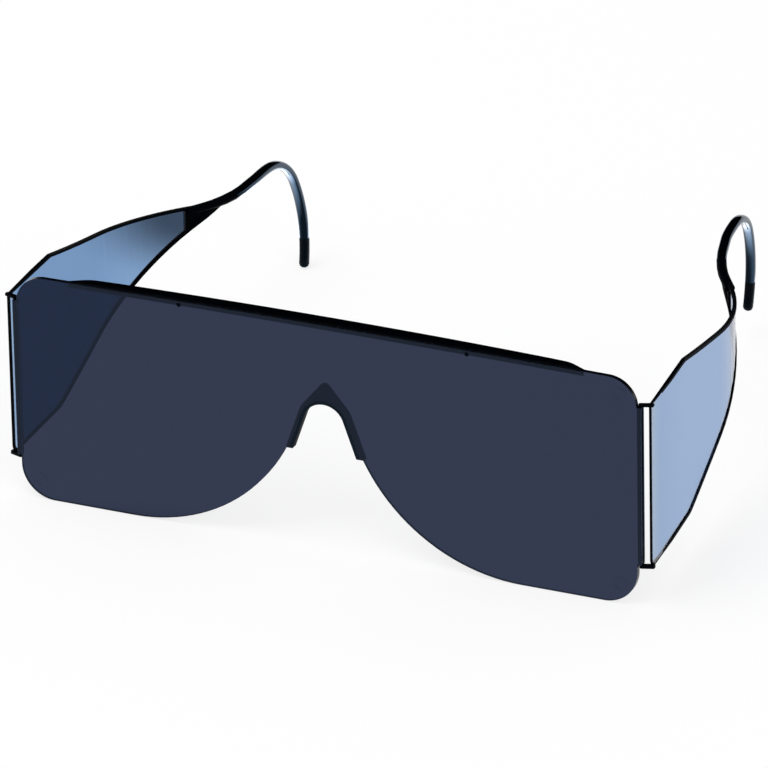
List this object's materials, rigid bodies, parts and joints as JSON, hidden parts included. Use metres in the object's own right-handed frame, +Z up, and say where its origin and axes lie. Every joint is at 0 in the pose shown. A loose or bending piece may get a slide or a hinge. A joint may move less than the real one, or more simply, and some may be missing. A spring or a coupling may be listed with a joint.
{
  "type": "eye shield",
  "caption": "Wraparound eye shield: flat tinted lens with brow bar and nose bridge, and folding temples with smoke side panels and ear hooks.",
  "frame": {"origin": "middle of the footprint, on the table that the shield stands on", "axes": "+X to the right seen from the front of the lens, +Y back from the lens to the ear hooks, +Z up from the table; the lens leans its top back by 7.1 degrees"},
  "size_m": [0.156, 0.1156, 0.0542],
  "materials": {
    "tinted_lens": "clear polished, dark blue-grey tint",
    "black_trim": "smooth black moulding",
    "black_frame": "glossy black moulding",
    "smoke_panel": "clear polished, light blue smoke tint"
  },
  "bodies": {
    "front": {"lens_shield": "tinted_lens", "brow_bar": "black_trim", "nose_bridge": "black_trim"},
    "left_temple": {"left_temple_frame": "black_frame", "left_side_panel": "smoke_panel"},
    "right_temple": {"right_temple_frame": "black_frame", "right_side_panel": "smoke_panel"}
  },
  "joints": [
    {"name": "left_temple_fold", "type": "hinge", "parent": "front", "child": "left_temple", "pos_m": [-0.0753, -0.05334, 0.02861], "axis": [0, -0.1236, -0.9923], "range_deg": [0, 78]},
    {"name": "right_temple_fold", "type": "hinge", "parent": "front", "child": "right_temple", "pos_m": [0.0753, -0.05334, 0.02861], "axis": [0, 0.1236, 0.9923], "range_deg": [0, 70]}
  ]
}
